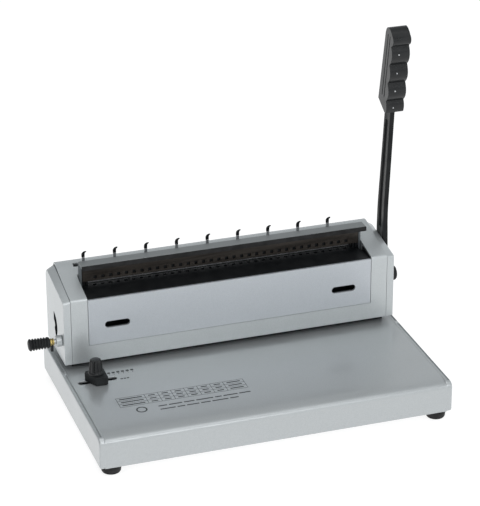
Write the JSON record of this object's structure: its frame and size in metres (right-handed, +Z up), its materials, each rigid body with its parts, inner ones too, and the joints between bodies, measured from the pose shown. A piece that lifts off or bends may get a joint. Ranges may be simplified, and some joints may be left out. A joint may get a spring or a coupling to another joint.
{
  "type": "wire comb binding machine",
  "caption": "Desktop wire comb punching and binding machine: silver base, raised housing with a closing rail and hooks, a chip drawer and a long lever on the right.",
  "frame": {"origin": "on the table top, under the middle of the whole machine's bounding box", "axes": "+X to the operator's right, +Y away from the operator, +Z up"},
  "size_m": [0.422, 0.228, 0.3734],
  "materials": {
    "silver_paint": "satin metallic silver-grey paint",
    "rail_paint": "darker satin grey paint",
    "bronze_plate": "dark bronze-brown satin",
    "black_paint": "semi-gloss black",
    "black_plastic": "fine textured black",
    "rubber": "matt black",
    "steel": "bright zinc-plated",
    "brass": "turned brass"
  },
  "bodies": {
    "machine": {"base_pan": "silver_paint", "base_plate": "steel", "foot_front_left": "rubber", "foot_front_right": "rubber", "foot_rear_left": "rubber", "foot_rear_right": "rubber", "plinth": "black_plastic", "main_cover": "silver_paint", "left_end_cap": "silver_paint", "right_end_cap": "silver_paint", "rear_cover": "silver_paint", "inner_guard": "black_paint", "chassis_plate": "steel", "side_frame_left": "steel", "side_frame_right": "steel", "shaft_bush_left": "brass", "shaft_bush_right": "brass", "tie_rod_lower": "steel", "tie_rod_upper": "steel", "throat_table": "black_paint", "die_plate": "black_paint", "guide_front_plate": "bronze_plate", "guide_rear_plate": "black_paint", "hook_bar": "rail_paint", "hook_1": "black_paint", "hook_2": "black_paint", "hook_3": "black_paint", "hook_4": "black_paint", "hook_5": "black_paint", "hook_6": "black_paint", "hook_7": "black_paint", "hook_8": "black_paint", "hook_9": "black_paint", "margin_boss": "silver_paint", "return_spring_left": "steel", "return_spring_right": "steel"},
    "lever": {"lever_arm": "black_paint", "lever_grip": "black_plastic", "lever_hub": "black_paint", "hub_cap": "black_plastic", "main_shaft": "steel", "crank_left": "steel", "crank_right": "steel", "stop_disc": "black_paint"},
    "closer": {"closer_rail": "rail_paint", "closer_lip": "rubber", "closer_skirt": "bronze_plate", "closer_arm_left": "rail_paint", "closer_arm_right": "rail_paint"},
    "punches": {"pin_bar": "black_paint"},
    "drawer": {"chip_drawer": "black_plastic", "drawer_front": "silver_paint"},
    "margin_pull": {"margin_rod": "steel", "margin_collar": "brass", "margin_grip": "black_plastic"},
    "margin_stop": {"margin_stop": "steel"},
    "size_slider": {"size_slider": "black_plastic"},
    "size_knob": {"size_knob": "black_plastic"}
  },
  "joints": [
    {"name": "lever_swing", "type": "hinge", "parent": "machine", "child": "lever", "pos_m": [0, 0.0825, 0.0775], "axis": [1, 0, 0], "range_deg": [0, 80], "stiffness_Nm_per_rad": 0.4, "springref_deg": -34.38},
    {"name": "closer_press", "type": "slide", "parent": "machine", "child": "closer", "axis": [0, 0, -1], "range_m": [0, 0.01802]},
    {"name": "punch_stroke", "type": "slide", "parent": "machine", "child": "punches", "axis": [0, 0, -1], "range_m": [0, 0.0129]},
    {"name": "drawer_slide", "type": "slide", "parent": "machine", "child": "drawer", "axis": [0, -1, 0], "range_m": [0, 0.03]},
    {"name": "margin_pull_slide", "type": "slide", "parent": "machine", "child": "margin_pull", "axis": [-1, 0, 0], "range_m": [0, 0.006]},
    {"name": "margin_stop_slide", "type": "slide", "parent": "machine", "child": "margin_stop", "axis": [0, -1, 0], "range_m": [0, 0.003]},
    {"name": "size_slide", "type": "slide", "parent": "machine", "child": "size_slider", "axis": [1, 0, 0], "range_m": [-0.014, 0.014]},
    {"name": "size_knob_turn", "type": "hinge", "parent": "size_slider", "child": "size_knob", "pos_m": [-0.151, 0.008, 0.0576], "axis": [0, 0, 1], "range_deg": [-90, 90]}
  ],
  "couplings": [
    {"joint": "closer_press", "follows": "lever_swing", "m_per_rad": 0.01289},
    {"joint": "punch_stroke", "follows": "lever_swing", "m_per_rad": 0.0092},
    {"joint": "margin_stop_slide", "follows": "margin_pull_slide", "ratio": 0.5}
  ]
}
